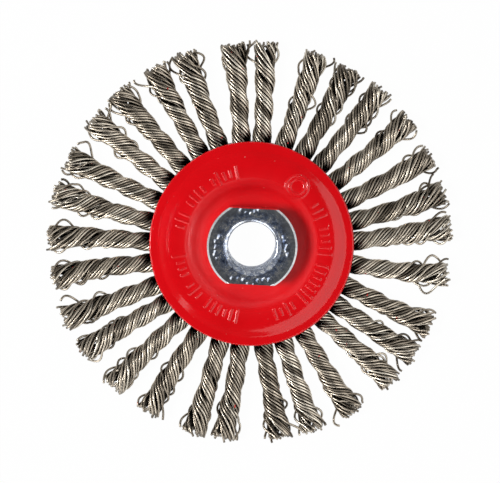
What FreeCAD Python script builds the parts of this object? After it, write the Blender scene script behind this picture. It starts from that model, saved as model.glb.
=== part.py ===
import FreeCAD, Part
import math
import os

V = FreeCAD.Vector
Y_AXIS, Z_AXIS = V(0, 1, 0), V(0, 0, 1)
CENTRE = V(0, 0, 0)

# Twist-knot wire wheel for an angle grinder, in millimetres.
# Z runs along the spindle, towards the open face of the nut. Z = 0 is the middle of the core plate.
# Angles go clockwise from +Y, seen from the nut.

# Whole wheel
wheel_dia = 100.0            # over the trimmed wire ends
knot_count = 30
first_knot_deg = -6.0

# Core plate, which the knots hang on
core_thickness = 1.5
knot_hole_dia = 2.9
knot_hole_wall = 1.1         # plate left between a knot hole and the plate's edge

# Spindle thread and hub nut
thread_dia = 14.0
thread_pitch = 2.0
thread_chamfer = 1.2
nut_dia = 22.0
nut_flat_depth = 1.75        # each spanner flat's depth below the round: 18.5 across the two
nut_flats_deg = 3.0
nut_top = 13.0               # height of the open face above the core plate's middle
nut_edge = 0.6               # chamfer round the open face
spigot_dia = 17.0            # part of the nut that passes through the plates
spigot_clearance = 0.1
peen_lap = 1.2               # rim of the nut rolled over behind the rear cover, beyond the spigot
peen_height = 1.3

# Pressed covers, front and rear alike, from the nut outwards
sheet = 1.2
seat_margin = 2.2            # flat seat that shows round the nut
well_wall_run = 2.8          # sloping wall from the seat up to the ridge
loop_room = 1.65             # from the top of that wall to the wire loops under the ridge
shoulder_lap = 0.9           # how far inside the core plate's edge the ridge ends
shoulder_width = 2.3
flange_width = 2.4
flange_droop = 0.12          # fall of the flange from its crease to the cover's edge
well_bend = 0.6              # inside bend radii
ridge_bend = 0.8
shoulder_bend = 4.5
crease_bend = 0.4

# Wire bundles
leg_thickness = 2.5          # one leg of a knot, lying on the core plate
leg_inset = 0.1              # the leg is this much narrower than its hole
root_step = 0.2              # from the root of the twist to where its two legs part
loop_bend = 1.0              # how far the loop's bend reaches along each way
plate_gap = 0.15             # wire to core plate
cover_gap = 0.3              # wire to cover
flange_gap = 0.5             # even part of the twist to the flanges' height
neighbour_gap = 0.4          # knot to knot at the covers' edge
twist_lead = 1.3             # straight run of the legs before they start to twist
twist_length = 13.6          # one full turn of the two legs about each other
left_handed = 1              # 1 turns the front leg anticlockwise on its way out, -1 clockwise
knot_levels = 14

# Shape of the twisted bundle: reach is its half-width over the legs, waist its half-width between them
root_drop, root_waist = 0.45, 0.55     # root_drop: fall from the leg's top to the root of the twist
neck_waist = 1.5
rope_reach, rope_waist = 2.35, 1.72
tip_reach, tip_waist = 3.15, 2.65
neck_length = 3.7            # from the covers' edge to where the bundle has reached its even width
flare_length = 14.0          # the wires spring apart over the last stretch
tip_fray = 0.5               # unevenness of the trimmed wire ends

# How far each knot leans from its own radius, in degrees, half-way out and at the tip, knot 1 first
knot_leans = [
    (1.0, 0.5), (-1.0, -2.0), (1.0, 1.0), (0.0, -0.5), (-1.0, -2.0), (-1.0, -2.0),
    (-0.5, -2.0), (-1.0, -3.0), (-3.0, -4.5), (-1.0, -3.0), (1.0, 1.0), (-0.5, -1.5),
    (-2.5, -3.0), (0.0, -1.0), (0.0, -0.5), (-1.5, -2.5), (1.0, 2.5), (-1.0, -1.0),
    (1.5, 1.5), (2.0, 2.0), (2.5, 3.0), (1.0, 2.0), (2.5, 2.0), (2.0, 1.5),
    (1.0, 2.5), (0.5, 1.0), (1.0, 2.0), (0.5, 0.5), (0.5, 1.0), (-1.0, -1.5),
]

# Places worked out from the sizes above
strand_radius = knot_hole_dia / 2 - plate_gap
well_radius = nut_dia / 2 + seat_margin
ridge_inner_radius = well_radius + well_wall_run
loop_inner_radius = ridge_inner_radius + loop_room
knot_hole_circle = loop_inner_radius + strand_radius
core_radius = knot_hole_circle + knot_hole_dia / 2 + knot_hole_wall
ridge_outer_radius = core_radius - shoulder_lap
flange_inner_radius = ridge_outer_radius + shoulder_width
cover_radius = flange_inner_radius + flange_width

core_half = core_thickness / 2
cover_seat = core_half + sheet
leg_floor = core_half + plate_gap
leg_top = leg_floor + leg_thickness
ridge_inside = leg_top + cover_gap
flange_inside = rope_reach + flange_gap

thread_minor_dia = thread_dia - 1.0825 * thread_pitch
knot_start = core_radius + cover_gap
rope_start = cover_radius + neck_length
knot_end = wheel_dia / 2
root_reach = leg_top - root_drop
neck_reach = math.pi * cover_radius / knot_count - neighbour_gap / 2


def polygon_face(points):
    return Part.Face(Part.makePolygon(points + points[:1]))


def ring_of_copies(shape, count, first_deg):
    """The same shape at even steps round the spindle, clockwise from +Y."""
    copies = []
    for index in range(count):
        copy = shape.copy()
        copy.rotate(CENTRE, Z_AXIS, -(first_deg + index * 360.0 / count))
        copies.append(copy)
    return copies


# Pressed covers

def offset_chain(points, distance):
    """Corner points of a chain of straight runs moved sideways by a distance, to the left of travel."""
    runs = []
    for start, end in zip(points[:-1], points[1:]):
        along = (end - start).normalize()
        side = V(-along.z, 0, along.x) * distance
        runs.append((start + side, along))
    moved = [runs[0][0]]
    for (here, along), (beyond, turned) in zip(runs[:-1], runs[1:]):
        gap = beyond - here
        step = (gap.x * turned.z - gap.z * turned.x) / (along.x * turned.z - along.z * turned.x)
        moved.append(here + along * step)
    last_point, last_along = runs[-1]
    moved.append(last_point + last_along * (points[-1] - points[-2]).Length)
    return moved


def turns_left(before, corner, after):
    first, second = corner - before, after - corner
    return first.x * second.z - first.z * second.x > 0


def bent_chain(points, radii):
    """Edges of a chain in the XZ plane with each inner corner rounded to its own radius."""
    edges = []
    reached = points[0]
    for index, radius in enumerate(radii, start=1):
        before, corner, after = points[index - 1], points[index], points[index + 1]
        back = (before - corner).normalize()
        ahead = (after - corner).normalize()
        half = back.getAngle(ahead) / 2
        tangent = radius / math.tan(half)
        middle = (back + ahead).normalize() * (radius / math.sin(half) - radius)
        arc_start, arc_end = corner + back * tangent, corner + ahead * tangent
        edges.append(Part.makeLine(reached, arc_start))
        edges.append(Part.Arc(arc_start, corner + middle, arc_end).toShape())
        reached = arc_end
    edges.append(Part.makeLine(reached, points[-1]))
    return edges


def front_cover():
    """Pressed disc: a flat seat, a raised ridge over the wire loops and a flange over the knots' roots."""
    bore = spigot_dia / 2 + spigot_clearance
    inside = [
        V(bore, 0, core_half),
        V(well_radius, 0, core_half),
        V(ridge_inner_radius, 0, ridge_inside),
        V(ridge_outer_radius, 0, ridge_inside),
        V(flange_inner_radius, 0, flange_inside),
        V(cover_radius, 0, flange_inside - flange_droop),
    ]
    outside = offset_chain(inside, sheet)
    outside[-1].x = cover_radius
    bends = [well_bend, ridge_bend, shoulder_bend, crease_bend]
    inside_radii = []
    outside_radii = []
    for index, bend in enumerate(bends, start=1):
        if turns_left(*inside[index - 1:index + 2]):
            inside_radii.append(bend + sheet)
            outside_radii.append(bend)
        else:
            inside_radii.append(bend)
            outside_radii.append(bend + sheet)
    edges = bent_chain(inside, inside_radii)
    edges.append(Part.makeLine(inside[-1], outside[-1]))
    edges += bent_chain(outside, outside_radii)
    edges.append(Part.makeLine(outside[0], inside[0]))
    profile = Part.Face(Part.Wire(Part.__sortEdges__(edges)))
    return profile.revolve(CENTRE, Z_AXIS, 360)


def rear_cover():
    return front_cover().mirror(CENTRE, Z_AXIS)


# Core plate

def core_plate():
    plate = Part.makeCylinder(core_radius, core_thickness, V(0, 0, -core_half))
    bore = Part.makeCylinder(spigot_dia / 2 + spigot_clearance, core_thickness, V(0, 0, -core_half))
    hole = Part.makeCylinder(knot_hole_dia / 2, core_thickness, V(0, knot_hole_circle, -core_half))
    return plate.cut(Part.makeCompound([bore] + ring_of_copies(hole, knot_count, first_knot_deg)))


# Hub nut

def hub_nut():
    """Round nut turned with a spigot, two spanner flats, and its rear rim rolled over the rear cover."""
    minor = thread_minor_dia / 2
    mouth = minor + thread_chamfer
    body = nut_dia / 2
    peen_radius = spigot_dia / 2 + peen_lap
    rear = -cover_seat - peen_height
    profile = polygon_face([
        V(minor, 0, rear + thread_chamfer / 2),
        V(minor, 0, nut_top - thread_chamfer),
        V(mouth, 0, nut_top),
        V(body - nut_edge, 0, nut_top),
        V(body, 0, nut_top - nut_edge),
        V(body, 0, cover_seat),
        V(spigot_dia / 2, 0, cover_seat),
        V(spigot_dia / 2, 0, -cover_seat),
        V(peen_radius, 0, -cover_seat),
        V(peen_radius - peen_height / 2, 0, rear),
        V(minor + thread_chamfer / 2, 0, rear),
    ])
    nut = profile.revolve(CENTRE, Z_AXIS, 360)
    corner = V(-body, body - nut_flat_depth, cover_seat)
    waste = Part.makeBox(nut_dia, nut_flat_depth, nut_top - cover_seat, corner)
    opposite = waste.mirror(CENTRE, Y_AXIS)
    flats = Part.makeCompound([waste, opposite])
    flats.rotate(CENTRE, Z_AXIS, -nut_flats_deg)
    return nut.cut(flats)


# Twisted knots

lobe_angles = [-51.0, -17.0, 17.0, 51.0, 90.0]     # points round one leg's half of a section


def blend(position, stops):
    """Straight-line value at a position between (position, value) stops."""
    for (start, low), (end, high) in zip(stops[:-1], stops[1:]):
        if position <= end:
            return low + (high - low) * max(position - start, 0.0) / (end - start)
    return stops[-1][1]


def bundle_size(radius):
    """Reach over the two legs and waist between them, at a radius on the wheel."""
    stops = [knot_start, cover_radius, rope_start, knot_end - flare_length, knot_end]
    reach = blend(radius, list(zip(stops, [root_reach, neck_reach, rope_reach, rope_reach, tip_reach])))
    waist = blend(radius, list(zip(stops, [root_waist, neck_waist, rope_waist, rope_waist, tip_waist])))
    return reach, waist


def section_points(radius, phase_deg):
    """Sideways and upward places of a two-legged section: two overlapping circles, turned by the twist."""
    reach, waist = bundle_size(radius)
    spread = (reach ** 2 - waist ** 2) / (2 * reach)
    leg = reach - spread
    places = []
    for half_turn in (0.0, 180.0):
        for lobe in lobe_angles:
            angle = math.radians(lobe)
            out = spread * math.cos(angle) + math.sqrt(leg ** 2 - (spread * math.sin(angle)) ** 2)
            turned = math.radians(lobe + half_turn + left_handed * phase_deg)
            places.append((-out * math.sin(turned), out * math.cos(turned)))
    return places


def lean_at(radius, half_way_lean, tip_lean):
    half_way = (knot_start + knot_end) / 2
    return blend(radius, [(knot_start, 0.0), (half_way, half_way_lean), (knot_end, tip_lean)])


def knot_centre(radius, leans):
    angle = math.radians(-lean_at(radius, *leans))
    return V(-radius * math.sin(angle), radius * math.cos(angle), 0)


def knot_rings(leans):
    rings = []
    for level in range(knot_levels + 1):
        radius = knot_start + (knot_end - knot_start) * level / knot_levels
        step = (knot_end - knot_start) / knot_levels / 4
        along = knot_centre(radius + step, leans) - knot_centre(max(radius - step, knot_start), leans)
        if level == 0:
            along = V(0, 1, 0)
        across = V(along.y, -along.x, 0).normalize()
        phase = max(radius - knot_start - twist_lead, 0.0) / twist_length * 360.0
        ring = []
        for index, (sideways, up) in enumerate(section_points(radius, phase)):
            point = knot_centre(radius, leans) + across * sideways + Z_AXIS * up
            if level == knot_levels and index % 2:
                point = point - knot_centre(radius, leans).normalize() * tip_fray
            ring.append(point)
        rings.append(ring)
    return rings


def loop_rings():
    """Six-sided rings round the wire loop, from its front leg through the hole in the plate to its rear leg."""
    root = section_points(knot_start, 0.0)
    shoulder_x, crown_x, crown_z = abs(root[0][0]), abs(root[1][0]), root[1][1]
    half_width = knot_hole_dia / 2 - leg_inset / 2
    strand_side = strand_radius * math.cos(math.radians(30))
    hole_near, hole_far = knot_hole_circle - strand_side, knot_hole_circle + strand_side
    # half-width, radius and height of the line under the leg, of its widest line and of its crown
    sections = [
        ((shoulder_x * 0.8, knot_start - root_step, leg_floor),
         (shoulder_x, knot_start - root_step, leg_floor + leg_thickness * 0.3),
         (crown_x, knot_start - root_step, crown_z)),
        ((half_width * 0.7, hole_far + loop_bend * 0.2, leg_floor),
         (half_width, knot_hole_circle + loop_bend * 0.4, leg_floor + leg_thickness * 0.4),
         (half_width * 0.55, hole_near + loop_bend, leg_top)),
        ((strand_radius / 2, hole_far, core_half),
         (strand_radius, knot_hole_circle, leg_floor + leg_thickness * 0.25),
         (strand_radius / 2, hole_near, leg_top - loop_bend)),
    ]
    front = []
    for section in sections:
        right = [V(wide, radius, height) for wide, radius, height in section]
        front.append(right + [V(-point.x, point.y, point.z) for point in reversed(right)])
    rear = [[V(point.x, point.y, -point.z) for point in ring] for ring in reversed(front)]
    return front + rear


def strip(first, second):
    """Facets between two rings, two for each pair of neighbouring points."""
    facets = []
    for place in range(len(first)):
        beside = (place + 1) % len(first)
        facets.append((first[place], first[beside], second[beside]))
        facets.append((first[place], second[beside], second[place]))
    return facets


def numbered(rings, first):
    """The rings as lists of point numbers, counted on from the first."""
    size = len(rings[0])
    return [list(range(first + size * place, first + size * (place + 1))) for place in range(len(rings))]


def knot(index):
    """A bundle of wires folded through its hole, its two legs twisted together: one closed skin of flat facets."""
    leans = knot_leans[index % len(knot_leans)]
    rings = knot_rings(leans)
    loop = loop_rings()
    points = [point for ring in rings + loop for point in ring]
    points.append(knot_centre(knot_end + tip_fray / 2, leans))
    twist = numbered(rings, 0)
    bend = numbered(loop, len(rings) * len(rings[0]))
    root = twist[0]
    front_root = [root[-1]] + root[:5]
    rear_root = list(reversed(root[4:]))
    facets = []
    for near, far in zip(twist[:-1], twist[1:]):
        facets += strip(near, far)
    path = [front_root] + bend + [rear_root]
    for near, far in zip(path[:-1], path[1:]):
        facets += strip(far, near)
    end = twist[-1]
    facets += [(len(points) - 1, end[place], end[(place + 1) % len(end)]) for place in range(len(end))]

    shell = Part.Shape()
    shell.makeShapeFromMesh((points, facets), 0.0001)
    solid = Part.Solid(Part.Shell(shell.Faces))
    if solid.Volume < 0:
        solid.reverse()
    solid.rotate(CENTRE, Z_AXIS, -(first_knot_deg + index * 360.0 / knot_count))
    return solid


def save(shape, name):
    if shape.ShapeType == "Compound" and len(shape.Solids) == 1:
        shape = shape.Solids[0]
    print(name, "valid", shape.isValid(), "solids", len(shape.Solids), "volume", round(shape.Volume, 1))
    shape.exportStep("parts/" + name + ".step")


def main():
    os.makedirs("parts", exist_ok=True)
    save(hub_nut(), "hub_nut")
    save(front_cover(), "front_cover")
    save(rear_cover(), "rear_cover")
    save(core_plate(), "core_plate")
    for index in range(knot_count):
        save(knot(index), "knot_%02d" % (index + 1))


main()
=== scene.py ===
import math
from collections import namedtuple

import bpy
import numpy as np
from mathutils import Matrix, Vector


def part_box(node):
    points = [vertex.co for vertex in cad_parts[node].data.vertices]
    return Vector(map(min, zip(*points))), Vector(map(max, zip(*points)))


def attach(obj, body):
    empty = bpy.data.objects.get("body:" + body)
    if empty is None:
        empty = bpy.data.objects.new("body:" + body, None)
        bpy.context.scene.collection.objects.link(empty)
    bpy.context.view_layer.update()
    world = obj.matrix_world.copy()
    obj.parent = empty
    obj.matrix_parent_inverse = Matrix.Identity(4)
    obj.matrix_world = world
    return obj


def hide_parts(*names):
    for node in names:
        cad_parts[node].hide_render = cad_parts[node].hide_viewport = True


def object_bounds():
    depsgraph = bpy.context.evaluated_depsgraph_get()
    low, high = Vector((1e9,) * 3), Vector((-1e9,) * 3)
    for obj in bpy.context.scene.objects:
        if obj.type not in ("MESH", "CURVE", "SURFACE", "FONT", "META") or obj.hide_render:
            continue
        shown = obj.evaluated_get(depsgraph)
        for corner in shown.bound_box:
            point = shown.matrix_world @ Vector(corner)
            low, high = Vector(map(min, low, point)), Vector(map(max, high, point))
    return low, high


bl_info = {
    "name": "Wire Wheel Brush",
    "version": (1, 0, 0),
    "blender": (4, 5, 0),
    "location": "3D View > Sidebar > Wire Wheel",
    "description": "Dresses a twist-knot wire wheel: wire knots, enamelled covers, threaded nut and a studio",
    "category": "Object",
}

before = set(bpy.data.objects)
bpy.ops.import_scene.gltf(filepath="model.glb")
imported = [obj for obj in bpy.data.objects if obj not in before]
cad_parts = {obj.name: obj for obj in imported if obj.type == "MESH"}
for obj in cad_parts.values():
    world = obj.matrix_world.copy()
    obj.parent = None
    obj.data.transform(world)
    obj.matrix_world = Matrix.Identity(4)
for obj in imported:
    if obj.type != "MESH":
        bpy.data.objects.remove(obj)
cad_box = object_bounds()

MM = 0.001
TURN = 2 * math.pi
SEED = 30


def cad_points(node):
    """Every vertex of a node's solid."""
    return np.array([vertex.co[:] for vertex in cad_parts[node].data.vertices])


def cad_radius(node):
    """Largest distance of a node's points from the spindle axis."""
    points = cad_points(node)
    return float(np.hypot(points[:, 0], points[:, 1]).max())


KNOT_NODES = sorted(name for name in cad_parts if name.startswith("knot_"))
COVER_RADIUS = cad_radius("front_cover")
CORE_RADIUS = cad_radius("core_plate")
WHEEL_RADIUS = float(np.median([cad_radius(name) for name in KNOT_NODES]))
CORE_HALF = float(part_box("core_plate")[1][2])
COVER_TOP = float(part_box("front_cover")[1][2])
NUT_TOP = float(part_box("hub_nut")[1][2])
NUT_REAR = float(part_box("hub_nut")[0][2])

# How far past the knots' common end each one is trimmed, in mm, knot 1 first. Most end short of it.
KNOT_TRIMS = [
    -0.7, -0.4, -0.5, -0.5, -0.3, -0.4, -0.7, -0.7, -0.5, -0.8, -0.8, -0.8, -0.8, -0.6, -0.8,
    -1.0, -0.8, -0.5, -0.7, -0.4, -0.1, 0.2, -0.2, 0.3, 0.3, -0.1, -0.1, -0.1, -0.4, -0.4,
]

# Groups of plain raised bars on the front cover: first and last place, in degrees clockwise from the top
BAR_GROUPS = ((284.0, 352.0), (58.0, 166.0), (192.0, 262.0))

# Groups of plain dents on the nut's face: middle and half-spread in degrees clockwise from the top, and how many
DENT_GROUPS = ((88.0, 16.0, 7), (270.0, 18.0, 8), (358.0, 13.0, 5), (182.0, 30.0, 8))

# Softboxes: name, degrees clockwise from the top, degrees off the spindle axis, width and height in metres,
# brightness of the face, and whether it lights the shine and the matte
LAMP_DISTANCE = 0.9
LAMPS = (
    ("matte_key", 272.0, 24.0, (0.20, 0.20), 44.0, False, True),
    ("left_softbox", 268.0, 57.0, (0.50, 0.30), 7.5, True, False),
    ("glint_lamp", 268.0, 62.0, (0.13, 0.13), 40.0, True, False),
    ("right_softbox", 114.0, 41.0, (1.35, 0.78), 1.6, True, False),
    ("low_softbox", 205.0, 68.0, (0.8, 0.35), 2.4, True, False),
    ("small_softbox", 223.5, 44.5, (0.07, 0.26), 2.6, True, False),
)


# Materials

# Places of a Mix node's colour sockets, which share their names with its other sockets
MIX_SHARE, MIX_FIRST, MIX_SECOND, MIX_RESULT = 0, 6, 7, 2


def shade(colour):
    """A scene-linear colour from a grey level, or from sRGB parts between 0 and 255."""
    if isinstance(colour, (int, float)):
        return (colour, colour, colour, 1.0)
    parts = [part / 255.0 for part in colour]
    return (*(part / 12.92 if part <= 0.04045 else ((part + 0.055) / 1.055) ** 2.4 for part in parts), 1.0)


class Graph:
    """The nodes of a world or a material, with short ways to add the kinds that recur."""

    def __init__(self, owner):
        owner.use_nodes = True
        self.nodes = owner.node_tree.nodes
        self.link = owner.node_tree.links.new

    def put(self, value, socket):
        """Links a socket to another node's, or sets it to a plain value."""
        if isinstance(value, bpy.types.NodeSocket):
            self.link(value, socket)
        else:
            socket.default_value = value

    def fill(self, node, **values):
        """Puts values in a node's sockets by name, with an underscore for each space."""
        for name, value in values.items():
            self.put(value, node.inputs[name.replace("_", " ")])
        return node

    def maths(self, operation, *values, kind="ShaderNodeMath", clamp=False):
        node = self.nodes.new(kind)
        node.operation = operation
        if clamp:
            node.use_clamp = True
        for value, socket in zip(values, node.inputs):
            self.put(value, socket)
        return node.outputs

    def ramp(self, source, *stops):
        """A colour for each value of a source, from (value, colour) stops."""
        node = self.nodes.new("ShaderNodeValToRGB")
        elements = node.color_ramp.elements
        while len(elements) < len(stops):
            elements.new(0.5)
        for element, (position, colour) in zip(elements, stops):
            element.position = position
            element.color = shade(colour)
        self.link(source, node.inputs["Fac"])
        return node.outputs["Color"]

    def mix(self, share, first, second, blend="MIX"):
        """A second colour laid over a first one by a share."""
        node = self.nodes.new("ShaderNodeMix")
        node.data_type = "RGBA"
        node.blend_type = blend
        self.put(share, node.inputs[MIX_SHARE])
        self.put(first, node.inputs[MIX_FIRST])
        self.put(second if isinstance(second, bpy.types.NodeSocket) else shade(second), node.inputs[MIX_SECOND])
        return node.outputs[MIX_RESULT]

    def attribute(self, name):
        node = self.nodes.new("ShaderNodeAttribute")
        node.attribute_name = name
        return node.outputs

    def place(self, kind):
        """One of the coordinates of the shaded point."""
        return self.nodes.new("ShaderNodeTexCoord").outputs[kind]

    def noise(self, scale, detail, roughness=0.55):
        """A noise over the object's own place in metres."""
        node = self.nodes.new("ShaderNodeTexNoise")
        return self.fill(node, Scale=scale, Detail=detail, Roughness=roughness,
                         Vector=self.place("Object")).outputs["Fac"]

    def axis_distance(self):
        """The distance of a point from the spindle axis."""
        flat = self.maths("MULTIPLY", self.place("Object"), (1.0, 1.0, 0.0), kind="ShaderNodeVectorMath")
        return self.maths("LENGTH", flat["Vector"], kind="ShaderNodeVectorMath")["Value"]


class Finish(Graph):
    """A material with one principled shader."""

    def __init__(self, name):
        self.material = bpy.data.materials.new(name)
        super().__init__(self.material)
        self.nodes.clear()
        self.output = self.nodes.new("ShaderNodeOutputMaterial")
        self.shader = self.nodes.new("ShaderNodeBsdfPrincipled")
        self.link(self.shader.outputs["BSDF"], self.output.inputs["Surface"])

    def bump(self, height, strength, distance):
        node = self.fill(self.nodes.new("ShaderNodeBump"), Strength=strength, Distance=distance, Height=height)
        self.fill(self.shader, Normal=node.outputs["Normal"])


def wire_material(settings):
    """Drawn steel wire: a tone for each wire, painted shade on the sides of the wires and a few paint flecks.

    Every point knows which way is outwards (wire_out) and how much painted shade it carries: black between
    the legs, at the root and on buried wires. Below zero the painted shade is lifted and the sides are lighter,
    as on bowed wires and trimmed ends.
    """
    finish = Finish("wire_steel")
    tone = finish.ramp(finish.attribute("wire_tone")["Fac"], (0.0, (122, 112, 99)), (0.35, (190, 178, 161)),
                       (0.75, (230, 217, 198)), (1.0, (250, 241, 224)))
    cloud = finish.noise(180.0, 2.0)
    dulled = finish.mix(0.4, tone, finish.ramp(cloud, (0.3, 0.55), (0.65, 1.0)), "MULTIPLY")

    # Painted shade: the sides of each wire that turn away from outwards are darkened, to black in the gaps
    outwards = finish.attribute("wire_out")["Vector"]
    facing = finish.maths("DOT_PRODUCT", finish.place("Normal"), outwards, kind="ShaderNodeVectorMath")
    sides = finish.ramp(facing["Value"], (0.0, 0.0), (0.42, 0.13), (0.72, 0.82), (0.88, 1.0))
    # Painted shade from each point, lifted where it falls below zero
    painted_shade = finish.attribute("wire_painted_shade")["Fac"]
    shade_lifted = finish.maths("MULTIPLY", painted_shade, -1.0, clamp=True)
    shaded = finish.mix(1.0, dulled, finish.mix(shade_lifted["Value"], sides, 0.62), "MULTIPLY")
    # Painted shade laid over the wire as near black
    blacked = finish.mix(painted_shade, shaded, (14, 11, 10))

    level = settings.fleck_level
    flecks = finish.ramp(finish.noise(620.0, 1.0), (level, 0.0), (level + 0.01, 1.0))
    finish.fill(finish.shader, Base_Color=finish.mix(flecks, blacked, (205, 30, 25)),
                Metallic=finish.maths("SUBTRACT", 1.0, flecks)["Value"],
                Roughness=finish.ramp(cloud, (0.3, 0.37), (0.7, 0.27)))
    return finish.material


def enamel_material(settings):
    """Glossy red enamel with a slight orange peel and specks of dust, satin in the seat round the nut."""
    finish = Finish("red_enamel")
    colour = finish.ramp(finish.noise(90.0, 5.0), (0.3, (224, 4, 14)), (0.6, (234, 5, 18)), (0.8, (239, 8, 20)))
    dust = finish.ramp(finish.noise(1500.0, 1.0), (0.79, 0.0), (0.80, 1.0))
    seat_end, gloss_start = settings.band_inner - 0.6 * MM, settings.band_inner + 0.9 * MM
    finish.fill(finish.shader, Base_Color=finish.mix(dust, colour, (235, 150, 140)), Specular_IOR_Level=0.42,
                Roughness=finish.ramp(finish.axis_distance(), (seat_end, 0.42), (gloss_start, 0.12)))
    finish.bump(finish.noise(520.0, 2.0), settings.orange_peel, 0.25 * MM)
    return finish.material


def zinc_material(settings):
    """Bright zinc on turned steel: mottled blue-grey on the open face, clean in the bore and round the rim."""
    finish = Finish("zinc_steel")
    cloud = finish.noise(700.0, 6.0, 0.74)
    mottled = finish.ramp(cloud, (0.38, (36, 51, 84)), (0.49, (142, 160, 194)), (0.60, (250, 252, 255)))
    face_inner = settings.minor_radius + settings.chamfer
    face_outer = settings.body_radius - settings.edge_chamfer
    turned = finish.ramp(finish.axis_distance(), (face_inner - 0.15 * MM, 1.0), (face_inner + 0.05 * MM, 0.0),
                         (face_outer - 0.05 * MM, 0.0), (face_outer + 0.10 * MM, 1.0))
    roughness = finish.ramp(cloud, (0.3, 0.30), (0.7, 0.17))
    finish.fill(finish.shader, Base_Color=finish.mix(turned, mottled, (232, 233, 232)), Metallic=1.0,
                Roughness=finish.mix(turned, roughness, 0.13))
    grainy = finish.fill(finish.nodes.new("ShaderNodeMapRange"), Value=turned, To_Min=1.0, To_Max=0.02)
    finish.bump(finish.noise(1900.0, 3.0), grainy.outputs["Result"], 0.06 * MM)
    return finish.material


def core_material():
    """Plain sheet steel of the core plate, hidden between the covers."""
    finish = Finish("core_steel")
    cloud = finish.noise(150.0, 5.0)
    finish.fill(finish.shader, Base_Color=finish.ramp(cloud, (0.3, (84, 80, 76)), (0.7, (132, 128, 122))),
                Metallic=1.0, Roughness=finish.ramp(cloud, (0.3, 0.55), (0.7, 0.4)))
    finish.bump(cloud, 0.3, 0.05 * MM)
    return finish.material


# Mesh building

def mesh_piece(name, vertices, faces, material, smooth=True):
    """A new object with a mesh of one material."""
    mesh = bpy.data.meshes.new(name)
    mesh.from_pydata(vertices, [], faces)
    mesh.validate()
    mesh.update()
    mesh.materials.append(material)
    if smooth:
        mesh.polygons.foreach_set("use_smooth", [True] * len(mesh.polygons))
    piece = bpy.data.objects.new(name, mesh)
    bpy.context.scene.collection.objects.link(piece)
    return piece


def turned_piece(name, radius, height, angles, material):
    """A closed skin round the spindle axis. Its radii and heights have a row for each angle clockwise from +Y."""
    steps, count = radius.shape
    x, y = radius * np.sin(angles)[:, None], radius * np.cos(angles)[:, None]
    vertices = np.stack([x, y, height], axis=-1).reshape(-1, 3)
    step, place = np.meshgrid(np.arange(steps), np.arange(count), indexing="ij")
    beyond, beside = (step + 1) % steps, (place + 1) % count
    quads = np.stack([step * count + place, step * count + beside, beyond * count + beside,
                      beyond * count + place], axis=-1).reshape(-1, 4)
    return mesh_piece(name, vertices.tolist(), quads.tolist(), material)


def angles_from(place, angles):
    """Angles measured from a place, within half a turn either way."""
    return np.mod(angles - place + math.pi, TURN) - math.pi


def unit(arrows):
    """The same arrows with a length of one."""
    return arrows / (np.linalg.norm(arrows, axis=-1, keepdims=True) + 1e-12)


def clamp(values, low=0.0, high=1.0):
    return np.clip(values, low, high)


def eased(share):
    """A share from 0 to 1 that starts and ends gently."""
    return share * share * (3 - 2 * share)


def smooth_noise(rng, count, points, stops):
    """Rows of gentle random curves between -1 and 1, through a few random stops each."""
    values = rng.uniform(-1.0, 1.0, (count, stops))
    places = np.linspace(0, stops - 1, points)
    low = np.clip(np.floor(places).astype(int), 0, stops - 2)
    share = eased(places - low)
    return values[:, low] * (1 - share) + values[:, low + 1] * share


def tubes(paths, radii, sides, base):
    """Vertices and faces of round tubes along paths of equal length (wires, points, 3), numbered from a base."""
    wires, points, _ = paths.shape
    along = unit(np.gradient(paths, axis=1))
    steep = np.abs(along[:, 0, 2:]) > 0.9
    first = np.empty_like(along)
    first[:, 0] = unit(np.cross(along[:, 0], np.where(steep, (1.0, 0.0, 0.0), (0.0, 0.0, 1.0))))
    for point in range(1, points):
        carried, tangent = first[:, point - 1], along[:, point]
        first[:, point] = unit(carried - tangent * np.sum(carried * tangent, axis=1, keepdims=True))
    second = np.cross(along, first)
    turn = np.linspace(0, TURN, sides, endpoint=False)[:, None]
    ring = first[:, :, None, :] * np.cos(turn) + second[:, :, None, :] * np.sin(turn)
    vertices = (paths[:, :, None, :] + ring * radii[:, None, None, None]).reshape(-1, 3)

    wire, point, side = np.meshgrid(np.arange(wires), np.arange(points - 1), np.arange(sides), indexing="ij")
    here = base + (wire * points + point) * sides
    beside = (side + 1) % sides
    quads = np.stack([here + side, here + beside, here + sides + beside, here + sides + side], axis=-1)
    faces = quads.reshape(-1, 4).tolist()
    for start in range(base, base + wires * points * sides, points * sides):
        last = start + (points - 1) * sides
        faces.append(list(range(start + sides - 1, start - 1, -1)))
        faces.append(list(range(last, last + sides)))
    return vertices, faces


# Knots

# A layer of wires in each leg: how many, how deep in the leg they lie, how near the knot's centre line they come,
# points and sides of a wire, whether it is the outer layer, and whether it only fills the tip
Layer = namedtuple("Layer", "count inset inner points sides outer tip_only")


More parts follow.
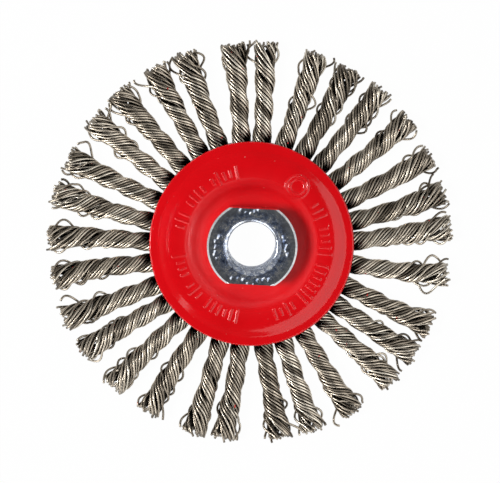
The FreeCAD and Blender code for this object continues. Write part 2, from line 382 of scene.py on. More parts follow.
class KnotLine:
    """Centre line of one knot, read from its solid: where it leaves the core plate and how it leans."""

    # Widths of the bands of points that give the knot's angle and its lean halfway and at the end
    root_band, middle_band, end_band = 1.0 * MM, 1.6 * MM, 1.2 * MM
    half_step = 0.4 * MM

    def __init__(self, node):
        points = cad_points(node)
        radii = np.hypot(points[:, 0], points[:, 1])
        root = points[radii < radii.min() + self.root_band].mean(axis=0)
        self.angle = math.atan2(root[0], root[1])
        turned = angles_from(self.angle, np.arctan2(points[:, 0], points[:, 1]))
        self.start = CORE_RADIUS + 0.3 * MM
        self.end = WHEEL_RADIUS - 0.25 * MM
        middle = (self.start + self.end) / 2
        middle_lean = float(turned[np.abs(radii - middle) < self.middle_band].mean())
        end_lean = float(turned[radii > self.end - self.end_band].mean())
        self.bow = 4.0 * middle_lean - end_lean
        self.curve = 2.0 * end_lean - 4.0 * middle_lean

    def centre(self, radius):
        share = np.clip((radius - self.start) / (self.end - self.start), 0.0, 1.2)
        angle = self.angle + (self.bow * share + self.curve * share * share)
        return np.stack([radius * np.sin(angle), radius * np.cos(angle), np.zeros_like(radius)], axis=-1)

    def arrow(self, radius, sideways, up):
        """Directions in the wheel's frame from clockwise and upward shares at a radius."""
        along = self.centre(radius + self.half_step) - self.centre(radius - self.half_step)
        along[radius < self.start] = (math.sin(self.angle), math.cos(self.angle), 0.0)
        along = unit(along)
        across = np.stack([along[..., 1], -along[..., 0], np.zeros_like(radius)], axis=-1)
        arrows = across * sideways[..., None]
        arrows[..., 2] += up
        return arrows

    def place(self, radius, sideways, up):
        """Points in the wheel's frame from places on the knot: radius, clockwise offset and height."""
        return self.centre(radius) + self.arrow(radius, sideways, up)


class Bundle:
    """Section of one knot's two-legged bundle at any radius, the twist that turns it, and its grooves."""

    groove_stops = 6
    slack_length = 6 * MM    # over this last stretch the twist slackens
    slack_share = 0.35       # by this share

    def __init__(self, line, settings, rng):
        self.line = line
        flare = rng.uniform(0.75, 1.15)
        self.length = settings.twist_length * rng.uniform(0.93, 1.07)
        self.twist_start = line.start + settings.twist_lead
        self.spring = line.end - settings.flare_length
        self.places = [line.start, COVER_RADIUS, COVER_RADIUS + settings.neck_length, self.spring, line.end]
        rope, waist = settings.rope_reach, settings.rope_waist
        self.reaches = [settings.root_reach, settings.neck_reach, rope, rope,
                        rope + (settings.tip_reach - rope) * flare]
        self.waists = [settings.root_waist, settings.neck_waist, waist, waist,
                       waist + (settings.tip_waist - waist) * flare]
        self.groove_radii = np.linspace(line.start, line.end, self.groove_stops)
        self.grooves = [[(place, rng.uniform(0.05, 0.13), rng.uniform(0.1, 1.0, self.groove_stops))
                         for place in rng.uniform(-0.75, 0.75, 2)] for _ in range(2)]

    def legs(self, radius):
        """How far the two legs' middles lie from the centre line, and each leg's own radius."""
        reach = np.interp(radius, self.places, self.reaches)
        waist = np.interp(radius, self.places, self.waists)
        spread = (reach ** 2 - waist ** 2) / (2 * reach)
        return spread, reach - spread

    def phase(self, radius):
        turned = (radius - self.twist_start) / self.length
        slack = np.clip(radius - self.line.end + self.slack_length, 0.0, None) * self.slack_share / self.length
        return TURN * np.clip(turned - slack, 0.0, None)

    def groove_push(self, side, share, radius):
        """How far the wires at given shares of a leg's round are pushed away from its grooves."""
        reach = 0.16
        total = 0.0
        for place, width, strengths in self.grooves[side]:
            away = share - place
            push = np.sign(away) * np.exp(-np.abs(away) / reach) * width
            total = total + push[:, None] * np.interp(radius, self.groove_radii, strengths)
        return total


def leg_painted_shade(settings, radius, side, facing, loosen, faces_up):
    """Painted shade on one leg's wires: black between the legs, and at the root on the side away from its own cover.
    """
    waist_fade, root_fade = 0.7, 1.7 * MM
    opened, opens_at = 0.75, 1.6    # how much of the painted shade between the legs the flare lays open, and how soon
    between_legs = clamp((settings.waist_facing - facing) / waist_fade) * settings.waist_shade
    between_legs = between_legs * (1.0 - opened * clamp(opens_at * loosen))
    at_root = clamp((COVER_RADIUS + settings.root_shade_length - radius) / root_fade)
    own_cover = 1.0 if side == 0 else -1.0
    inside = clamp(0.2 - faces_up * own_cover / 0.5)
    # The painted shade is lifted towards the trimmed end
    return np.maximum(between_legs, at_root * inside) - settings.tip_shade_lift * clamp(loosen)


def leg_paths(bundle, settings, rng, layer, radius, side):
    """One layer of wires in one leg: clockwise offsets and heights, which way is outwards there, and the painted
    shade.
    """
    settle_length, bend_length = 8 * MM, 3.5 * MM   # where the wander sets in, and where the ends bend away
    least_ring, fullest_round = 0.25 * MM, -0.985   # a layer's least radius, and the cosine where it must stop
    tip_sway = 0.12
    steady, wild, wild_share = 0.3, 1.5, 0.12       # most ends bend a little, and a few of them far
    count, points = radius.shape
    spread, leg = bundle.legs(radius)
    ring = np.clip(leg - layer.inset, least_ring, None)
    widest = np.arccos(np.clip((layer.inner - spread) / ring, fullest_round, 1.0))
    share = (np.arange(count) + 0.5) / count * 2 - 1
    settle = clamp((radius - bundle.line.start) / settle_length)
    loosen = clamp((radius - bundle.spring) / settings.flare_length, high=1.2) ** 3
    turn = share[:, None] * widest + bundle.groove_push(side, share, radius) * settle
    turn = turn + smooth_noise(rng, count, points, 7) * settle * (settings.sway + tip_sway * loosen)
    wander = smooth_noise(rng, count, points, 6) * settings.wire_wander
    splay = np.abs(rng.normal(0.0, 1.0, (count, 1))) * settings.splay
    ring = ring + wander * settle + splay * loosen
    facing, aside = np.cos(turn), np.sin(turn)
    stray = rng.normal(0.0, 1.0, (2, count, 1)) * (steady + wild * (rng.random((1, count, 1)) < wild_share))
    bent = clamp((radius - bundle.line.end) / bend_length + 1.0, high=1.3) ** 2 * settings.fray
    out = spread + ring * facing + stray[0] * bent
    beside = ring * aside + stray[1] * bent

    phase = bundle.phase(radius) + side * math.pi
    across, rise = np.sin(phase), np.cos(phase)
    sideways, up = -out * across - beside * rise, out * rise - beside * across
    faces_side, faces_up = -facing * across - aside * rise, facing * rise - aside * across
    return sideways, up, faces_side, faces_up, leg_painted_shade(settings, radius, side, facing, loosen, faces_up)


def loop_paths(settings, sideways, up, side):
    """The hidden way in from the twist, over the core plate and down to the middle of the knot's hole."""
    plate_edge, hole_edge = CORE_RADIUS - 0.1 * MM, settings.hole_circle + 2.05 * MM
    filled, tightest, widest = 0.8, 0.3 * MM, 0.9 * MM    # share of the hole's room, and limits of the bend there
    first_side, first_up = sideways[:, 0], np.abs(up[:, 0])
    share = (first_up - first_up.min()) / max(first_up.max() - first_up.min(), 1e-6)
    height = CORE_HALF + settings.plate_gap + settings.wire_radius
    height = height + share * (settings.leg_thickness - 2 * settings.wire_radius)
    room = settings.hole_radius - settings.plate_gap - settings.wire_radius
    hole_place = settings.hole_circle + room * (1 - 2 * share) * filled
    bend = np.minimum(height - tightest, widest)
    rows = [(np.full_like(height, plate_edge), first_side * 0.95, height),
            (np.full_like(height, hole_edge), first_side * 0.9, height)]
    for angle in np.radians((90.0, 60.0, 30.0, 0.0)):
        rows.append((hole_place + bend * (1 - math.cos(angle)), first_side * 0.72,
                     height - bend * (1 - math.sin(angle))))
    radius, offset, height = (np.stack(column, axis=1) for column in zip(*rows))
    return radius, offset, height if side == 0 else -height


def throw_loops(line, settings, rng, radius, sideways, up, painted_shade):
    """Bows a few of the outer wires away from the bundle's flanks, as worn knots show. Some end in the open."""
    tip_gap, deepest, crowding = 2.0 * MM, 12.0 * MM, 1.8    # bows lie this deep, and crowd towards the tip
    deep, deep_reach = 6 * MM, 0.7                           # deep ones bow out less
    open_arc, flattened, shade_lifted_from = 0.62, 0.5, 0.12
    for _ in range(rng.integers(settings.loops_low, settings.loops_high + 1)):
        open_end = rng.random() < settings.open_loops
        depth = 0.0 if open_end else rng.uniform(0.0, 1.0) ** crowding * deepest
        middle = line.end - tip_gap - depth
        length = rng.uniform(3.5, 6.5) * MM
        reach = rng.uniform(0.6, 1.2) * MM * (1.0 if depth < deep else deep_reach)
        flank = rng.choice([-1.0, 1.0])
        column = int(np.argmin(np.abs(radius[0] - middle)))
        wire = int(np.argmax(sideways[:, column] * flank))
        share = clamp((radius[wire] - middle) / length + 0.5)
        bow = np.sin(math.pi * open_arc * share) ** 1.6 if open_end else np.sin(math.pi * share) ** 0.9
        sideways[wire] += bow * reach * flank
        up[wire] *= 1 - flattened * bow
        # Painted shade lifted on the bowed part, whose sides are then lighter
        painted_shade[wire] = np.where(bow > shade_lifted_from, -clamp(2.0 * bow), painted_shade[wire])


def leg_wires(bundle, settings, rng, layer, side, trim):
    """One layer of wires in one leg, from the knot's middle to the tip: points, outward arrows and painted shade."""
    line = bundle.line
    root_gap, tip_length, buried_shade_length, long_share = 0.3 * MM, 10 * MM, 9.0 * MM, 0.10
    ends = line.end + trim * MM + rng.uniform(-0.75, 0.35, layer.count) * MM
    long_ones = rng.random(layer.count) < long_share
    ends = ends + long_ones * rng.uniform(0.2, 0.7, layer.count) * MM
    begin = line.end - tip_length if layer.tip_only else line.start + root_gap
    radius = begin + (ends[:, None] - begin) * np.linspace(0.0, 1.0, layer.points)
    sideways, up, faces_side, faces_up, painted_shade = leg_paths(bundle, settings, rng, layer, radius, side)
    outwards = line.arrow(radius, faces_side, faces_up)
    if layer.outer:
        throw_loops(line, settings, rng, radius, sideways, up, painted_shade)
    else:
        # Painted shade on the wires under the outer ones, less of it towards the trimmed end
        buried = np.clip((line.end - radius) / buried_shade_length, settings.tip_buried_shade, 1.0)
        painted_shade = np.maximum(painted_shade, settings.buried_shade * buried) - settings.tip_shade_lift * (1.0 - buried)
    painted_shade[:, -1] = -1.0    # painted shade lifted, so the cut ends are bright
    if not layer.tip_only:
        loop = loop_paths(settings, sideways, up, side)
        hidden = loop[0].shape[1]
        radius, sideways, up = (np.concatenate([inner[:, ::-1], rows], axis=1)
                                for inner, rows in zip(loop, (radius, sideways, up)))
        outwards, painted_shade = (np.concatenate([rows[:, :1].repeat(hidden, axis=1), rows], axis=1)
                          for rows in (outwards, painted_shade))
    return line.place(radius, sideways, up), outwards, painted_shade


def joined(front, rear):
    """Rows of the front leg's wires, tip to middle, carried on along the rear leg's, middle to tip."""
    rear = rear[::-1]
    middle = (front[:, :1] + rear[:, :1]) / 2
    return np.concatenate([front[:, ::-1], middle, rear], axis=1)


class WireSkin:
    """Gathers round wires, with the tone, the outward arrow and the painted shade that each point hands to the
    material.
    """

    def __init__(self):
        self.vertices, self.faces, self.tones, self.arrows, self.painted_shades = [], [], [], [], []
        self.count = 0

    def add(self, paths, arrows, painted_shades, radii, tones, sides):
        vertices, faces = tubes(paths, radii, sides, self.count)
        self.vertices.append(vertices)
        self.faces += faces
        self.count += len(vertices)
        self.tones.append(np.repeat(tones, paths.shape[1] * sides))
        self.arrows.append(np.repeat(arrows.reshape(-1, 3), sides, axis=0))
        self.painted_shades.append(np.repeat(painted_shades.reshape(-1), sides))

    def piece(self, name, material):
        piece = mesh_piece(name, np.concatenate(self.vertices).tolist(), self.faces, material)
        for attribute, kind, key, values in (("wire_tone", "FLOAT", "value", self.tones),
                                             ("wire_painted_shade", "FLOAT", "value", self.painted_shades),
                                             ("wire_out", "FLOAT_VECTOR", "vector", self.arrows)):
            data = piece.data.attributes.new(attribute, kind, "POINT").data
            data.foreach_set(key, np.concatenate(values).astype(np.float32).ravel())
        return piece


def knot_mesh(node, settings, material):
    """All the wires of one knot. Long ones run from one trimmed end through the hole to the other."""
    index = int(node.split("_")[-1])
    rng = np.random.default_rng(SEED * 100 + index)
    line = KnotLine(node)
    bundle = Bundle(line, settings, rng)
    wire = settings.wire_radius
    layers = (Layer(7, 1.0 * wire, 0.0, settings.fine_points, 8, True, False),
              Layer(5, 2.7 * wire, 0.24 * MM, settings.coarse_points, 6, False, False),
              Layer(5, 4.4 * wire, 0.28 * MM, 9, 5, False, True),
              Layer(3, 5.8 * wire, 0.32 * MM, 7, 5, False, True))
    skin = WireSkin()
    for layer in layers:
        legs = [leg_wires(bundle, settings, rng, layer, side, KNOT_TRIMS[index - 1]) for side in (0, 1)]
        paths, arrows, painted_shades = (np.concatenate(pair) if layer.tip_only else joined(*pair) for pair in zip(*legs))
        radii = wire * rng.uniform(0.96, 1.04, len(paths))
        skin.add(paths, arrows, painted_shades, radii, rng.random(len(paths)), layer.sides)

    # A rod for the imported wires in the middle, black with full painted shade, which only shows as the dark behind
    # the others
    radius = np.linspace(line.start + 1.5 * MM, line.end - 5 * MM, 24)[None, :]
    nothing = np.zeros_like(radius)
    rod = line.place(radius, nothing, nothing)
    skin.add(rod, np.zeros_like(rod), np.ones_like(radius), np.array([settings.core_fill]), np.zeros(1), 8)
    return skin.piece(node + "_wires", material)


# Covers

def offset_corners(corners, distance):
    """Corners of a chain of straight runs after moving every run sideways by a distance."""
    corners = np.array(corners)
    runs = unit(np.diff(corners, axis=0))
    sides = np.stack([-runs[:, 1], runs[:, 0]], axis=1) * distance
    moved = [corners[0] + sides[0]]
    for index in range(len(runs) - 1):
        gap = corners[index + 1] + sides[index + 1] - corners[index] - sides[index]
        first, second = runs[index], runs[index + 1]
        step = (gap[0] * second[1] - gap[1] * second[0]) / (first[0] * second[1] - first[1] * second[0])
        moved.append(corners[index] + sides[index] + first * step)
    moved.append(corners[-1] + sides[-1])
    return np.array(moved)


def eased_heights(radii, corners, bends):
    """Heights of a chain at given radii, with each corner eased over its own bend width."""
    heights = np.interp(radii, corners[:, 0], corners[:, 1])
    slopes = np.diff(corners[:, 1]) / np.diff(corners[:, 0])
    for corner, bend, before, after in zip(corners[1:-1], bends, slopes[:-1], slopes[1:]):
        away = np.abs(radii - corner[0])
        inside = away < bend
        heights[inside] += (after - before) * (bend - away[inside]) ** 2 / (4 * bend)
    return heights


def cover_faces(settings):
    """The cover's lower and upper chains of corners, from the sizes of the press tool."""
    ridge_under = COVER_TOP - settings.sheet
    lower = np.array([
        (settings.bore_radius, CORE_HALF),
        (settings.well_radius, CORE_HALF),
        (settings.well_radius + settings.well_wall_run, ridge_under),
        (CORE_RADIUS - settings.shoulder_lap, ridge_under),
        (COVER_RADIUS - settings.flange_width, settings.flange_under),
        (COVER_RADIUS, settings.flange_under - settings.flange_droop),
    ])
    upper = offset_corners(lower, settings.sheet)
    upper[-1, 0] = COVER_RADIUS
    return lower, upper


def cover_mesh(name, settings, material, relief=None, steps=240):
    """A pressed cover as one closed skin, with an optional relief on its upper face."""
    lower, upper = cover_faces(settings)
    bends = [settings.well_bend, settings.ridge_bend, settings.shoulder_bend, settings.crease_bend]
    seat_rows, wall_rows, band_rows, rim_rows, under_rows, edge_rows = 4, 18, 44 if relief else 8, 26, 22, 9
    rim = COVER_RADIUS - settings.edge_round
    seat_edge = upper[1, 0]
    upper_radii = np.concatenate([
        np.linspace(upper[0, 0], seat_edge - 0.8 * MM, seat_rows),
        np.linspace(seat_edge - 0.6 * MM, settings.band_inner, wall_rows)[:-1],
        np.linspace(settings.band_inner, settings.band_outer, band_rows),
        np.linspace(settings.band_outer, rim, rim_rows)[1:],
    ])
    lower_radii = np.linspace(lower[0, 0], rim, under_rows)[::-1]
    upper_heights = eased_heights(upper_radii, upper, bends)
    lower_heights = eased_heights(lower_radii, lower, bends)
    top, bottom = upper_heights[-1], lower_heights[0]
    turns = np.radians(np.linspace(90.0, -90.0, edge_rows)[1:-1])
    radius = np.concatenate([upper_radii, rim + settings.edge_round * np.cos(turns), lower_radii])
    height = np.concatenate([upper_heights, (top + bottom) / 2 + (top - bottom) / 2 * np.sin(turns),
                             lower_heights])
    angles = np.linspace(0.0, TURN, steps, endpoint=False)
    radius, height = np.tile(radius, (steps, 1)), np.tile(height, (steps, 1))
    if relief:
        marked = slice(0, len(upper_radii))
        height[:, marked] += relief(radius[:, marked], angles[:, None])
    return turned_piece(name, radius, height, angles, material)


def pressed_marks(settings):
    """Raised plain bars in three groups round the ridge, and two plain raised rings, one inside the other."""
    bar_heights, gap_share, inner_ring = [0.55, 0.8, 1.0], 0.9, 0.66
    bars = []
    rng = np.random.default_rng(SEED)
    for angle, last in BAR_GROUPS:
        while angle < last:
            for _ in range(int(rng.integers(3, 8))):
                if angle > last:
                    break
                bars.append((math.radians(angle), rng.choice(bar_heights)))
                angle += settings.bar_pitch_deg
            angle += settings.bar_pitch_deg * gap_share
    middle, half_width = settings.mark_radius, settings.bar_width / 2
    ring_place = math.radians(settings.ring_deg)

    def raised(outside):
        """1 inside a mark and 0 outside it, from the distance to its edge."""
        return clamp(0.5 - outside / settings.mark_ease)

    def relief(radius, angle):
        lift = np.zeros_like(radius)
        for place, tall in bars:
            outside = np.maximum(np.abs(angles_from(place, angle) * radius) - half_width,
                                 np.abs(radius - middle) - settings.bar_height * tall / 2)
            lift = np.maximum(lift, raised(outside))
        reach = np.hypot(angles_from(ring_place, angle) * radius, radius - middle)
        for size in (settings.ring_radius, settings.ring_radius * inner_ring):
            lift = np.maximum(lift, raised(np.abs(reach - size) - half_width))
        return lift * settings.mark_lift

    return relief


# Nut

def flat_radius(angle, settings):
    """Outline of the nut's body: round, with two spanner flats."""
    across = np.abs(np.cos(angle - math.radians(settings.flats_deg)))
    return np.minimum(settings.body_radius, settings.flat_distance / np.maximum(across, 1e-6))


def thread_depth(height, angle, settings):
    """How far the thread's groove lies outside its crests, at a height and an angle clockwise from +Y."""
    crest, slope = 0.12, 0.86
    turn = height / settings.thread_pitch + angle / TURN
    saw = np.abs(np.mod(turn, 1.0) - 0.5) * 2.0
    return eased(clamp((saw - crest) / slope)) * settings.thread_groove


def nut_angles(settings):
    """Steps round the nut, with one on each end of its flats."""
    corner = math.acos(settings.flat_distance / settings.body_radius)
    turn = math.radians(settings.flats_deg)
    corners = [turn + side + sign * corner for side in (0.0, math.pi) for sign in (-1, 1)]
    even = np.linspace(0, TURN, settings.nut_steps, endpoint=False)
    return np.unique(np.round(np.concatenate([even, np.mod(corners, TURN)]), 7))


def nut_mesh(name, settings, material):
    """Hub nut: threaded bore, chamfered mouth, dented face, two flats, spigot and rolled rear rim."""
    angles = nut_angles(settings)
    outline = flat_radius(angles, settings)
    mouth = settings.minor_radius + settings.chamfer
    tail = settings.minor_radius + settings.chamfer / 2
    rng = np.random.default_rng(SEED + 1)

    # Bore, from the rear to the mouth
    rows = []
    for height in np.linspace(NUT_REAR, NUT_TOP, settings.bore_rows):
        wall = settings.minor_radius + thread_depth(height, angles, settings)
        rows.append((np.maximum(wall, max(mouth - (NUT_TOP - height), tail - (height - NUT_REAR))), height))

    # Open face, from the mouth to the outline
    dents = []
    for centre, spread, number in DENT_GROUPS:
        for place in np.linspace(centre - spread, centre + spread, number):
            dents.append((math.radians(place + rng.uniform(-1.5, 1.5)),
                          settings.dent_circle + rng.uniform(-0.65, 0.55) * MM,
                          rng.uniform(0.30, 0.72) * MM))
    for share in np.linspace(0.0, 1.0, settings.face_rows)[1:]:
        radius = mouth + (outline - mouth) * share
        drop = np.maximum(radius - (settings.body_radius - settings.edge_chamfer), 0.0)
        sink = np.zeros_like(angles)
        for place, circle, size in dents:
            reach = np.hypot(angles_from(place, angles) * radius, radius - circle)
            sink = np.maximum(sink, clamp(1 - (reach / size) ** 2) * size * settings.dent_depth)
        rows.append((radius, NUT_TOP - drop - sink))

    # Side of the body and the spigot, down to the rear cover
    edge_height = rows[-1][1]
    seat = CORE_HALF + settings.sheet
    side_rows, rim_rows, waves, roundness = 12, 7, 24, 0.55
    for share in np.linspace(0.0, 1.0, side_rows)[1:]:
        rows.append((outline, edge_height + (seat - edge_height) * share))
    rows += [(settings.spigot_radius, seat), (settings.spigot_radius, -seat)]

    # Rolled rim, a little uneven, and the rear face
    rolled = rng.uniform(-0.12, 0.12, waves) * MM
    rim = settings.spigot_radius + settings.peen_lap
    rim = rim + np.interp(np.mod(angles * waves / TURN, waves), np.arange(waves + 1), np.append(rolled, rolled[0]))
    peen = -NUT_REAR - seat
    for turn in np.linspace(0.0, math.pi / 2, rim_rows):
        rows.append((rim - peen * (1 - math.cos(turn)) * roundness, -seat - peen * math.sin(turn)))
    for share in (0.35, 0.7):
        last = rows[-1][0]
        rows.append((last + (tail - last) * share, NUT_REAR))

    radius, height = (np.stack([np.broadcast_to(part, angles.shape) for part in column], axis=1)
                      for column in zip(*rows))
    piece = turned_piece(name, radius, height, angles, material)
    piece.data.set_sharp_from_angle(angle=math.radians(settings.sharp_deg))
    return piece


# Settings

def length_setting(name, description, millimetres):
    return bpy.props.FloatProperty(name=name, description=description, default=millimetres * MM,
                                   subtype="DISTANCE", unit="LENGTH", precision=5)


def share_setting(name, description, default):
    return bpy.props.FloatProperty(name=name, description=description, default=default, subtype="FACTOR")


def number_setting(name, description, default):
    return bpy.props.FloatProperty(name=name, description=description, default=default)


def count_setting(name, description, default, low):
    return bpy.props.IntProperty(name=name, description=description, default=default, min=low)


class KnotSettings(bpy.types.PropertyGroup):
    """Sizes of the wires and of the twisted bundles they make."""
    wire_radius: length_setting("Wire radius", "Half of one wire's diameter", 0.285)
    rope_reach: length_setting("Twist reach", "Half-width of the even twist over its two legs", 2.42)
    rope_waist: length_setting("Twist waist", "Half-width of the even twist between its legs", 1.86)
    root_reach: length_setting("Root reach", "Half-width over the legs where the twist begins", 2.80)
    root_waist: length_setting("Root waist", "Half-width between the legs where the twist begins", 0.60)
    neck_reach: length_setting("Neck reach", "Half-width over the legs at the covers' edge", 2.45)
    neck_waist: length_setting("Neck waist", "Half-width between the legs at the covers' edge", 1.74)
    tip_reach: length_setting("Tip reach", "Half-width over the legs at the trimmed end", 3.15)
    tip_waist: length_setting("Tip waist", "Half-width between the legs at the trimmed end", 2.70)
    neck_length: length_setting("Neck length", "From the covers' edge to the even twist", 3.7)
    flare_length: length_setting("Flare length", "Last stretch, where the wires spring apart", 14.0)
    twist_lead: length_setting("Twist lead", "Straight run of the legs before they start to twist", 1.3)
    twist_length: length_setting("Twist length", "One full turn of the two legs about each other", 13.6)
    wire_wander: length_setting("Wire wander", "How far a wire strays in and out of its layer", 0.10)
    splay: length_setting("Splay", "How far the trimmed ends spring outwards", 0.22)
    fray: length_setting("Fray", "How far a wire's last stretch bends out of its place", 0.30)
    core_fill: length_setting("Core fill", "Radius of the packed wires in the middle", 0.75)
    leg_thickness: length_setting("Leg thickness", "Height of one leg lying on the core plate", 2.5)
    plate_gap: length_setting("Plate gap", "Wire to core plate", 0.15)
    hole_radius: length_setting("Hole radius", "Half of a knot hole's diameter", 1.45)
    hole_circle: length_setting("Hole circle", "Radius of the circle of knot holes", 18.95)
    # Painted shade on the wires: black inside the legs at the root, on buried wires and between the legs
    root_shade_length: length_setting("Root soot", "How far past the covers' edge the legs are black inside", 2.7)
    buried_shade: share_setting("Buried soot", "Blackness of the wires under the outer ones", 0.6)
    tip_buried_shade: share_setting("Tip grime", "Share of the buried soot left at the trimmed end", 0.25)
    # How far the painted shade is lifted at the trimmed end
    tip_shade_lift: share_setting("Tip shine", "How far the trimmed end is rubbed clean", 0.45)
    sway: number_setting("Sway", "How far a wire strays sideways, in radians", 0.05)
    waist_facing: number_setting("Waist facing", "Where the soot between the legs starts", 0.20)
    waist_shade: share_setting("Waist soot", "Blackness between the legs", 0.92)
    fine_points: count_setting("Outer wire points", "Points along an outer wire", 54, 12)
    coarse_points: count_setting("Inner wire points", "Points along an inner wire", 24, 8)
    loops_low: count_setting("Fewest loops", "Fewest wires bowed out of a knot", 3, 0)
    loops_high: count_setting("Most loops", "Most wires bowed out of a knot", 7, 0)
    open_loops: share_setting("Open loops", "Share of the bowed wires that end in the open", 0.3)
    fleck_level: share_setting("Fleck level", "Noise level above which paint shows", 0.772)


class CoverSettings(bpy.types.PropertyGroup):
    """Sizes of the pressed covers and of the plain marks on the front one."""
    sheet: length_setting("Sheet", "Thickness of the pressed sheet", 1.2)
    bore_radius: length_setting("Bore", "Hole that the nut's spigot passes through", 8.6)
    well_radius: length_setting("Seat radius", "Flat seat round the nut", 13.2)
    well_wall_run: length_setting("Wall run", "Width of the sloping wall round the seat", 2.8)
    shoulder_lap: length_setting("Shoulder lap", "How far inside the core plate's edge the ridge ends", 0.9)
    flange_width: length_setting("Flange width", "Flat rim over the roots of the knots", 2.4)
    flange_under: length_setting("Flange height", "Underside of the flange above the wheel's middle", 2.85)
    flange_droop: length_setting("Flange droop", "Fall of the flange towards its edge", 0.12)
    well_bend: length_setting("Well bend", "Half-width of the bend at the seat", 1.35)
    ridge_bend: length_setting("Ridge bend", "Half-width of the bend at the ridge's inner edge", 1.4)
    shoulder_bend: length_setting("Shoulder bend", "Half-width of the soft outer shoulder", 1.25)
    crease_bend: length_setting("Crease bend", "Half-width of the crease inside the flange", 0.35)
    edge_round: length_setting("Edge round", "Rounding of the sheared edge", 0.4)
    band_inner: length_setting("Band start", "Inner radius of the marked band", 15.7)
    band_outer: length_setting("Band end", "Outer radius of the marked band", 20.9)
    mark_radius: length_setting("Mark circle", "Radius of the circle that the marks stand on", 18.15)
    mark_lift: length_setting("Mark height", "How far the marks are pressed up", 0.24)
    mark_ease: length_setting("Mark edge", "Width of the slope round a mark", 0.27)
    bar_width: length_setting("Bar width", "Width of a plain raised bar", 0.46)
    bar_height: length_setting("Bar height", "Longest plain raised bar, along the radius", 3.5)
    ring_radius: length_setting("Ring radius", "Radius of the larger plain raised ring", 2.75)
    bar_pitch_deg: number_setting("Bar pitch", "Degrees from one bar to the next", 5.0)
    ring_deg: number_setting("Ring place", "Degrees clockwise from the top", 38.0)
    orange_peel: share_setting("Orange peel", "Strength of the enamel's ripple", 0.10)


class NutSettings(bpy.types.PropertyGroup):
    """Sizes of the threaded hub nut."""
    minor_radius: length_setting("Thread crest radius", "Half of the thread's minor diameter", 5.9175)
    thread_pitch: length_setting("Thread pitch", "Rise of the thread in one turn", 2.0)
    thread_groove: length_setting("Thread depth", "Depth of the thread's groove", 1.08)
    chamfer: length_setting("Mouth chamfer", "Chamfer at the open end of the bore", 1.2)
    body_radius: length_setting("Body radius", "Half of the nut's diameter", 11.0)
    flat_distance: length_setting("Flat distance", "From the axis to a spanner flat", 9.25)
    edge_chamfer: length_setting("Edge chamfer", "Chamfer round the open face", 0.48)
    sheet: length_setting("Sheet", "Thickness of a pressed cover", 1.2)
    spigot_radius: length_setting("Spigot radius", "Part of the nut that passes through the plates", 8.5)
    peen_lap: length_setting("Rolled rim", "How far the rear rim is rolled over", 1.2)
    dent_circle: length_setting("Dent circle", "Radius of the circle of plain stamped dents", 8.7)
    dent_depth: number_setting("Dent depth", "Depth of a dent as a share of its radius", 0.24)
    flats_deg: number_setting("Flats", "Degrees clockwise from the top", 3.0)
    sharp_deg: number_setting("Sharp edges", "Degrees above which an edge is shown sharp", 32.0)
    nut_steps: count_setting("Nut steps", "Steps round the nut", 228, 48)
    bore_rows: count_setting("Bore rows", "Rows along the threaded bore", 128, 24)
    face_rows: count_setting("Face rows", "Rows across the stamped face", 26, 6)


class StudioSettings(bpy.types.PropertyGroup):
    """Camera, floor and room."""
    distance: length_setting("Camera distance", "Camera to the wheel's middle", 600.0)
    field: length_setting("Field width", "Width that the photograph shows at the wheel's middle", 124.1)
    tip_deg: number_setting("Camera tip", "Degrees off the spindle axis towards +Y", 4.0)
    lean_deg: number_setting("Camera lean", "Degrees off the axis towards -X", 0.7)
    aim_x: length_setting("Aim right", "Point aimed at, to the right of the axis", -0.37)
    aim_y: length_setting("Aim up", "Point aimed at, above the axis", 0.39)
    floor_half: length_setting("Floor half", "Half of the floor's width", 4000.0)
    floor_colour: bpy.props.FloatVectorProperty(name="Floor", description="Colour of the floor",
                                                default=(0.9, 0.9, 0.9), subtype="COLOR")
    floor_glow: share_setting("Floor white", "Share of plain white in the floor", 0.98)
    wall_level: number_setting("Wall level", "Brightness of the room near the horizon", 0.55)
    ceiling_level: number_setting("Ceiling level", "Brightness of the room overhead", 0.09)


# Operators

class WHEEL_OT_knots(bpy.types.Operator):
    """Build the thirty twisted wire knots over their CAD solids"""
    bl_idname = "wheel.knots"
    bl_label = "Wire knots"

    def execute(self, context):
        settings = context.scene.wheel_knots
        material = wire_material(settings)
        if not KNOT_NODES:
            raise RuntimeError("the frame holds no knots")
        for node in KNOT_NODES:
            piece = knot_mesh(node, settings, material)
            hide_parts(node)
            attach(piece, "root")
        return {"FINISHED"}


class WHEEL_OT_covers(bpy.types.Operator):
    """Build the front and rear pressed covers in red enamel"""
    bl_idname = "wheel.covers"
    bl_label = "Pressed covers"

    def execute(self, context):
        settings = context.scene.wheel_covers
        material = enamel_material(settings)
        front = cover_mesh("front_cover_pressed", settings, material, pressed_marks(settings), 720)
        rear = cover_mesh("rear_cover_pressed", settings, material)
        rear.data.transform(Matrix.Scale(-1.0, 4, Vector((0.0, 0.0, 1.0))))
        rear.data.flip_normals()
        for piece, node in ((front, "front_cover"), (rear, "rear_cover")):
            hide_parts(node)
            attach(piece, "root")
        return {"FINISHED"}


class WHEEL_OT_nut(bpy.types.Operator):
    """Build the zinc-plated hub nut with its real thread"""
    bl_idname = "wheel.nut"
    bl_label = "Hub nut"

    def execute(self, context):
        settings = context.scene.wheel_nut
        piece = nut_mesh("hub_nut_threaded", settings, zinc_material(settings))
        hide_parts("hub_nut")
        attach(piece, "root")
        return {"FINISHED"}


class WHEEL_OT_core_plate(bpy.types.Operator):
    """Give the core plate its sheet-steel finish"""
    bl_idname = "wheel.core_plate"
    bl_label = "Core plate"

    def execute(self, context):
        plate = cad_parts["core_plate"]
        plate.data.materials.clear()
        plate.data.materials.append(core_material())
        return {"FINISHED"}


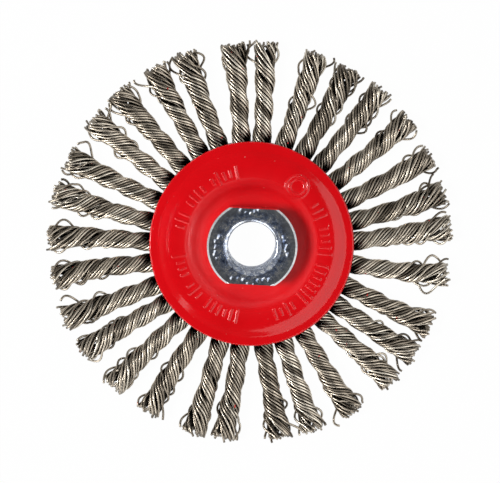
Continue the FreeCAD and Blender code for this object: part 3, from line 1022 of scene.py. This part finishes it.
def floor_material(settings):
    """Pale floor: plain white for the camera and for mirror reflections, with the object's shadow kept."""
    finish = Finish("studio_floor")
    finish.fill(finish.shader, Base_Color=(*settings.floor_colour, 1.0), Roughness=0.9, Specular_IOR_Level=0.0)
    ray = finish.nodes.new("ShaderNodeLightPath").outputs
    seen = finish.maths("MAXIMUM", ray["Is Camera Ray"], ray["Is Glossy Ray"])["Value"]
    seen = finish.maths("MAXIMUM", seen, ray["Is Transmission Ray"])["Value"]
    glow = finish.fill(finish.nodes.new("ShaderNodeEmission"), Strength=1.0)
    lit = finish.nodes.new("ShaderNodeMixShader")
    for value, socket in zip((finish.maths("MULTIPLY", seen, settings.floor_glow)["Value"],
                              finish.shader.outputs["BSDF"], glow.outputs["Emission"]), lit.inputs):
        finish.link(value, socket)
    finish.fill(finish.output, Surface=lit.outputs["Shader"])
    return finish.material


def room_world(settings):
    """A room that is pale near the horizon and dark overhead, so that the nut's open face stays dark."""
    world = bpy.data.worlds.new("pale_room")
    room = Graph(world)
    height = room.fill(room.nodes.new("ShaderNodeSeparateXYZ"), Vector=room.place("Generated")).outputs["Z"]
    wall = settings.wall_level
    shades = room.ramp(height, (0.15, wall), (0.45, wall * 0.7), (0.70, wall * 0.22), (0.88, settings.ceiling_level))
    room.fill(room.nodes["Background"], Strength=1.0, Color=shades)
    return world


def add_lamp(name, clockwise_deg, off_axis_deg, size, level, shine, matte):
    """A softbox that faces the wheel's middle. Its level is the brightness of its face."""
    lamp = bpy.data.lights.new(name, "AREA")
    lamp.shape = "RECTANGLE"
    lamp.size, lamp.size_y = size
    lamp.energy = level * math.pi * size[0] * size[1]
    holder = bpy.data.objects.new(name, lamp)
    bpy.context.scene.collection.objects.link(holder)
    turn, off = math.radians(clockwise_deg), math.radians(off_axis_deg)
    place = Vector((math.sin(turn) * math.sin(off), math.cos(turn) * math.sin(off), math.cos(off)))
    holder.location = place * LAMP_DISTANCE
    holder.rotation_mode = "QUATERNION"
    holder.rotation_quaternion = (-place).to_track_quat("-Z", "Y")
    holder.visible_glossy = shine
    holder.visible_diffuse = matte


def add_camera(settings, scene):
    """The camera that looks down at the wheel as the photograph does, with +Y upwards in the picture."""
    camera = bpy.data.cameras.new("camera")
    camera.sensor_width = 36.0
    camera.lens = camera.sensor_width * settings.distance / settings.field
    camera.clip_start, camera.clip_end = 0.01, 20.0
    holder = bpy.data.objects.new("camera", camera)
    scene.collection.objects.link(holder)
    tip, lean = math.radians(settings.tip_deg), math.radians(settings.lean_deg)
    back = Vector((-math.sin(lean), math.sin(tip), math.cos(tip) * math.cos(lean))).normalized()
    right = Vector((0.0, 1.0, 0.0)).cross(back).normalized()
    place = Vector((settings.aim_x, settings.aim_y, 0.0)) + back * settings.distance
    turn = Matrix((right, back.cross(right), back)).transposed()
    holder.matrix_world = Matrix.Translation(place) @ turn.to_4x4()
    scene.camera = holder


class WHEEL_OT_studio(bpy.types.Operator):
    """Set up the pale floor, the soft lamps, the dim room and the camera"""
    bl_idname = "wheel.studio"
    bl_label = "Studio"

    def execute(self, context):
        settings = context.scene.wheel_studio
        scene = context.scene
        scene.view_settings.view_transform = "Standard"
        floor_height = cad_box[0][2]
        half = settings.floor_half
        corners = [(x * half, y * half, floor_height) for x, y in ((-1, -1), (1, -1), (1, 1), (-1, 1))]
        floor = mesh_piece("studio_floor", corners, [(0, 1, 2, 3)], floor_material(settings), smooth=False)
        scene.world = room_world(settings)
        for lamp in LAMPS:
            add_lamp(*lamp)
        add_camera(settings, scene)
        return {"FINISHED"}


class WHEEL_PT_panel(bpy.types.Panel):
    """Buttons for each piece of the wheel, in the order they are built"""
    bl_idname = "WHEEL_PT_panel"
    bl_label = "Wire Wheel"
    bl_space_type = "VIEW_3D"
    bl_region_type = "UI"
    bl_category = "Wire Wheel"

    def draw(self, context):
        for operator in OPERATORS:
            self.layout.operator(operator.bl_idname)


OPERATORS = (WHEEL_OT_knots, WHEEL_OT_covers, WHEEL_OT_nut, WHEEL_OT_core_plate, WHEEL_OT_studio)
GROUPS = {"wheel_knots": KnotSettings, "wheel_covers": CoverSettings, "wheel_nut": NutSettings,
          "wheel_studio": StudioSettings}


def register():
    for name, group in GROUPS.items():
        bpy.utils.register_class(group)
        setattr(bpy.types.Scene, name, bpy.props.PointerProperty(type=group))
    for operator in OPERATORS:
        bpy.utils.register_class(operator)
    bpy.utils.register_class(WHEEL_PT_panel)


def unregister():
    bpy.utils.unregister_class(WHEEL_PT_panel)
    for operator in reversed(OPERATORS):
        bpy.utils.unregister_class(operator)
    for name, group in GROUPS.items():
        delattr(bpy.types.Scene, name)
        bpy.utils.unregister_class(group)


def main():
    register()
    bpy.ops.wheel.knots()
    bpy.ops.wheel.covers()
    bpy.ops.wheel.nut()
    bpy.ops.wheel.core_plate()
    bpy.ops.wheel.studio()


if __name__ == "__main__":
    main()
